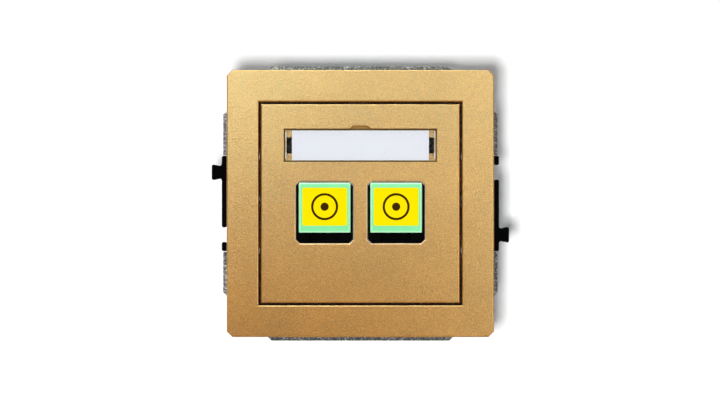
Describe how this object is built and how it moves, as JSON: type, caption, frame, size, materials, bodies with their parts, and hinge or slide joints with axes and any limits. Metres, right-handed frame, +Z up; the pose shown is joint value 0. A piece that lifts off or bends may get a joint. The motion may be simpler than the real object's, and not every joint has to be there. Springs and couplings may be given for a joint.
{
  "type": "fibre-optic wall outlet",
  "caption": "Square flush wall outlet for SC fibre plugs: gold frame and centre plate, clear label window, sprung green flaps with yellow stickers, steel support plate with fixing claws behind",
  "frame": {"origin": "centre of the two box-screw holes, on the wall plane, which is the rear face of the support plate's rim", "axes": "+X to the right and +Z up as the outlet hangs on the wall; +Y into the wall box"},
  "size_m": [0.0762, 0.0301, 0.0704],
  "materials": {
    "gold_lacquer": "pearl gold lacquer over plastic",
    "zinc_steel": "zinc plated",
    "screw_steel": "zinc plated",
    "pin_steel": "bright spring steel",
    "black_plastic": "fine matt",
    "mint_plastic": "slightly translucent satin",
    "green_plastic": "satin",
    "ivory_plastic": "satin",
    "clear_plastic": "clear, polished",
    "white_card": "uncoated",
    "yellow_sticker": "coated film",
    "zirconia": "polished"
  },
  "bodies": {
    "base": {"support_plate": "zinc_steel", "module_holder": "black_plastic", "holder_screws": "screw_steel", "coupler_left": "black_plastic", "keystone_housing_left": "black_plastic", "adapter_body_left": "green_plastic", "latch_holder_front_left": "ivory_plastic", "latch_holder_rear_left": "ivory_plastic", "alignment_sleeve_left": "zirconia", "flap_pin_left": "pin_steel", "flap_spring_left": "pin_steel", "coupler_right": "black_plastic", "keystone_housing_right": "black_plastic", "adapter_body_right": "green_plastic", "latch_holder_front_right": "ivory_plastic", "latch_holder_rear_right": "ivory_plastic", "alignment_sleeve_right": "zirconia", "flap_pin_right": "pin_steel", "flap_spring_right": "pin_steel"},
    "trim": {"trim_frame": "gold_lacquer"},
    "centre": {"centre_plate": "gold_lacquer"},
    "label": {"label_cover": "clear_plastic", "label_card": "white_card"},
    "left_flap": {"flap_left": "mint_plastic", "flap_sticker_left": "yellow_sticker"},
    "left_screw": {"claw_screw_left": "screw_steel"},
    "left_nut": {"claw_nut_left": "screw_steel"},
    "left_claw": {"claw_left": "zinc_steel"},
    "right_flap": {"flap_right": "mint_plastic", "flap_sticker_right": "yellow_sticker"},
    "right_screw": {"claw_screw_right": "screw_steel"},
    "right_nut": {"claw_nut_right": "screw_steel"},
    "right_claw": {"claw_right": "zinc_steel"}
  },
  "joints": [
    {"name": "trim_frame_pull", "type": "slide", "parent": "base", "child": "trim", "axis": [0, -1, 0], "range_m": [0, 0.012]},
    {"name": "centre_plate_pull", "type": "slide", "parent": "base", "child": "centre", "axis": [0, -1, 0], "range_m": [0, 0.012]},
    {"name": "label_pull", "type": "slide", "parent": "centre", "child": "label", "axis": [0, -1, 0], "range_m": [0, 0.008]},
    {"name": "left_flap_hinge", "type": "hinge", "parent": "base", "child": "left_flap", "pos_m": [-0.0091, -0.00775, 0.0043], "axis": [-1, 0, 0], "range_deg": [0, 90], "stiffness_Nm_per_rad": 0.0015, "springref_deg": -17.19, "deforming": ["flap_spring_left"]},
    {"name": "left_screw_turn", "type": "hinge", "parent": "base", "child": "left_screw", "pos_m": [-0.0268, 0, 0], "axis": [0, 1, 0], "range_deg": [0, 4860]},
    {"name": "left_nut_slide", "type": "slide", "parent": "base", "child": "left_nut", "axis": [0, -1, 0], "range_m": [0, 0.00675]},
    {"name": "left_claw_slide", "type": "slide", "parent": "base", "child": "left_claw", "axis": [-0.5, -0.866, 0], "range_m": [0, 0.0079]},
    {"name": "right_flap_hinge", "type": "hinge", "parent": "base", "child": "right_flap", "pos_m": [0.0091, -0.00775, 0.0043], "axis": [-1, 0, 0], "range_deg": [0, 90], "stiffness_Nm_per_rad": 0.0015, "springref_deg": -17.19, "deforming": ["flap_spring_right"]},
    {"name": "right_screw_turn", "type": "hinge", "parent": "base", "child": "right_screw", "pos_m": [0.0268, 0, 0], "axis": [0, 1, 0], "range_deg": [0, 4860]},
    {"name": "right_nut_slide", "type": "slide", "parent": "base", "child": "right_nut", "axis": [0, -1, 0], "range_m": [0, 0.00675]},
    {"name": "right_claw_slide", "type": "slide", "parent": "base", "child": "right_claw", "axis": [0.5, -0.866, 0], "range_m": [0, 0.0079]}
  ],
  "couplings": [
    {"joint": "left_screw_turn", "follows": "left_nut_slide", "rad_per_m": 12566},
    {"joint": "left_claw_slide", "follows": "left_nut_slide", "ratio": 1.1547},
    {"joint": "right_screw_turn", "follows": "right_nut_slide", "rad_per_m": 12566},
    {"joint": "right_claw_slide", "follows": "right_nut_slide", "ratio": 1.1547}
  ]
}
